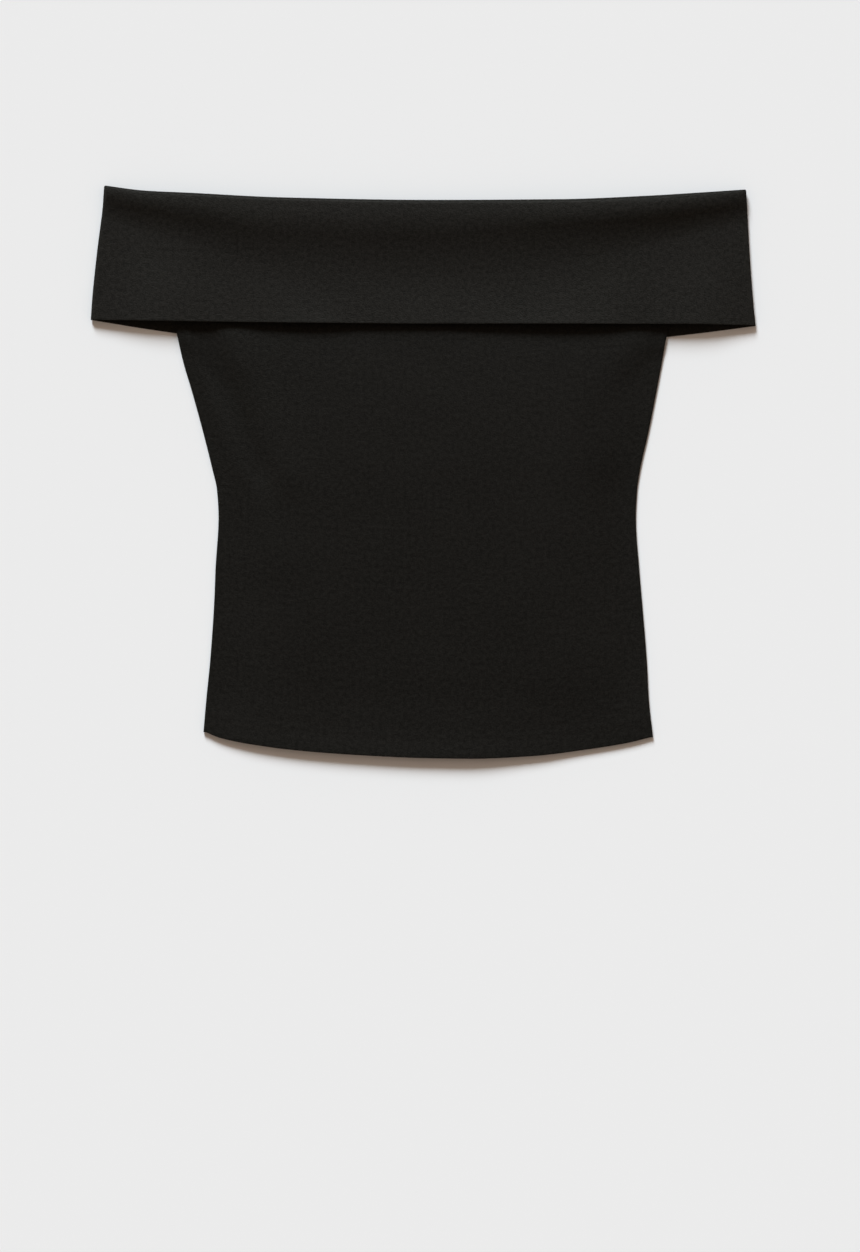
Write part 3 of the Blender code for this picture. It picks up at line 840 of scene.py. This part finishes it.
def cloth_material(crepe, yarn):
    """Matte black stretch cloth. Its colour runs from dark to light with the yarn's tone."""
    material = bpy.data.materials.new(crepe.name)
    material.use_nodes = True
    nodes, links = material.node_tree.nodes, material.node_tree.links
    shader = nodes["Principled BSDF"]
    place = nodes.new("ShaderNodeUVMap")
    place.uv_map = "weave"
    scale = nodes.new("ShaderNodeMapping")
    scale.inputs["Scale"].default_value = (MILLIMETRES, MILLIMETRES, MILLIMETRES)
    links.new(place.outputs["UV"], scale.inputs["Vector"])
    weave = nodes.new("ShaderNodeGroup")
    weave.node_tree = yarn
    links.new(scale.outputs["Vector"], weave.inputs["Place"])
    weave.inputs["Grain Tone"].default_value = GRAIN_TONE
    weave.inputs["Slow Tone"].default_value = SLOW_TONE
    colour = nodes.new("ShaderNodeMix")
    colour.data_type = "RGBA"
    colour.inputs["A"].default_value = crepe.dark
    colour.inputs["B"].default_value = crepe.light
    spread = nodes.new("ShaderNodeMapRange")
    spread.inputs["From Min"].default_value = DARKEST_TONE
    spread.inputs["From Max"].default_value = LIGHTEST_TONE
    links.new(weave.outputs["Tone"], spread.inputs["Value"])
    links.new(spread.outputs["Result"], colour.inputs["Factor"])
    links.new(colour.outputs["Result"], shader.inputs["Base Color"])
    relief = nodes.new("ShaderNodeBump")
    relief.inputs["Strength"].default_value = 1.0
    relief.inputs["Distance"].default_value = CREPE_RELIEF
    links.new(weave.outputs["Height"], relief.inputs["Height"])
    links.new(relief.outputs["Normal"], shader.inputs["Normal"])
    aslant = nodes.new("ShaderNodeLayerWeight")
    fading = nodes.new("ShaderNodeMapRange")
    fading.inputs["From Min"].default_value = SLANT_START
    fading.inputs["From Max"].default_value = SLANT_END
    fading.inputs["To Min"].default_value = CREPE_ROUGHNESS
    links.new(aslant.outputs["Facing"], fading.inputs["Value"])
    links.new(fading.outputs["Result"], shader.inputs["Roughness"])
    shader.inputs["Specular IOR Level"].default_value = crepe.gloss
    shader.inputs["Specular Tint"].default_value = GLOSS_TINT
    shader.inputs["Sheen Weight"].default_value = SHEEN
    shader.inputs["Sheen Roughness"].default_value = SHEEN_ROUGHNESS
    shader.inputs["Sheen Tint"].default_value = SHEEN_TINT
    return material


def make_floor():
    mesh = bpy.data.meshes.new("floor")
    sheet = bmesh.new()
    bmesh.ops.create_grid(sheet, x_segments=1, y_segments=1, size=FLOOR_SIZE / 2)
    sheet.to_mesh(mesh)
    sheet.free()
    floor = bpy.data.objects.new("floor", mesh)
    bpy.context.scene.collection.objects.link(floor)
    material = bpy.data.materials.new("pale_floor")
    material.use_nodes = True
    shader = material.node_tree.nodes["Principled BSDF"]
    shader.inputs["Base Color"].default_value = FLOOR_COLOUR
    shader.inputs["Roughness"].default_value = 1.0
    shader.inputs["Specular IOR Level"].default_value = 0.0
    mesh.materials.append(material)


def make_light():
    data = bpy.data.lights.new("soft_lamp", "SUN")
    data.energy = LAMP_STRENGTH
    data.color = LAMP_COLOUR
    data.angle = LAMP_SPREAD
    lamp = bpy.data.objects.new("soft_lamp", data)
    bpy.context.scene.collection.objects.link(lamp)
    low = math.cos(LAMP_ELEVATION)
    towards = Vector((-math.sin(LAMP_TURN) * low, math.cos(LAMP_TURN) * low, math.sin(LAMP_ELEVATION)))
    lamp.rotation_euler = towards.to_track_quat("Z", "Y").to_euler()
    world = bpy.data.worlds.new("pale_room")
    world.use_nodes = True
    nodes, links = world.node_tree.nodes, world.node_tree.links
    direction = nodes.new("ShaderNodeTexCoord")
    axes = nodes.new("ShaderNodeSeparateXYZ")
    links.new(direction.outputs["Generated"], axes.inputs["Vector"])
    depth = nodes.new("ShaderNodeMapRange")
    depth.inputs["From Min"].default_value = -1.0
    links.new(axes.outputs["Y"], depth.inputs["Value"])
    horizon = nodes.new("ShaderNodeMix")
    horizon.data_type = "RGBA"
    links.new(depth.outputs["Result"], horizon.inputs["Factor"])
    horizon.inputs["A"].default_value = ROOM_NEAR
    horizon.inputs["B"].default_value = ROOM_FAR
    room = nodes.new("ShaderNodeMix")
    room.data_type = "RGBA"
    links.new(axes.outputs["Z"], room.inputs["Factor"])
    links.new(horizon.outputs["Result"], room.inputs["A"])
    room.inputs["B"].default_value = ROOM_CEILING
    links.new(room.outputs["Result"], nodes["Background"].inputs["Color"])
    bpy.context.scene.world = world
    bpy.context.scene.view_settings.view_transform = "Standard"


def make_camera():
    data = bpy.data.cameras.new("camera")
    camera = bpy.data.objects.new("camera", data)
    bpy.context.scene.collection.objects.link(camera)
    centre_x = (PHOTO_WIDTH / 2 - ORIGIN_PIXEL_X) * METRES_PER_PIXEL
    centre_y = (ORIGIN_PIXEL_Y - PHOTO_HEIGHT / 2) * METRES_PER_PIXEL
    camera.location = (centre_x, centre_y, CAMERA_HEIGHT)
    data.sensor_width = SENSOR
    data.lens = SENSOR * (CAMERA_HEIGHT - GARMENT_LEVEL) / (PHOTO_HEIGHT * METRES_PER_PIXEL)
    bpy.context.scene.camera = camera


def main():
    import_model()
    make_camera()
    make_light()
    make_floor()
    yarn = crepe_group()
    front, back = make_panels(cloth_material(BODY_CREPE, yarn))
    collar_front, collar_back = make_collar(cloth_material(COLLAR_CREPE_PAINTED_LIGHTER, yarn))
    for piece, node, slot in (
        (front, "front_panel", "body_cloth"),
        (back, "back_panel", "body_cloth"),
        (collar_front, "collar_front", "collar_cloth"),
        (collar_back, "collar_back", "collar_cloth"),
    ):
        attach(piece, "root")
        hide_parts(node)


main()
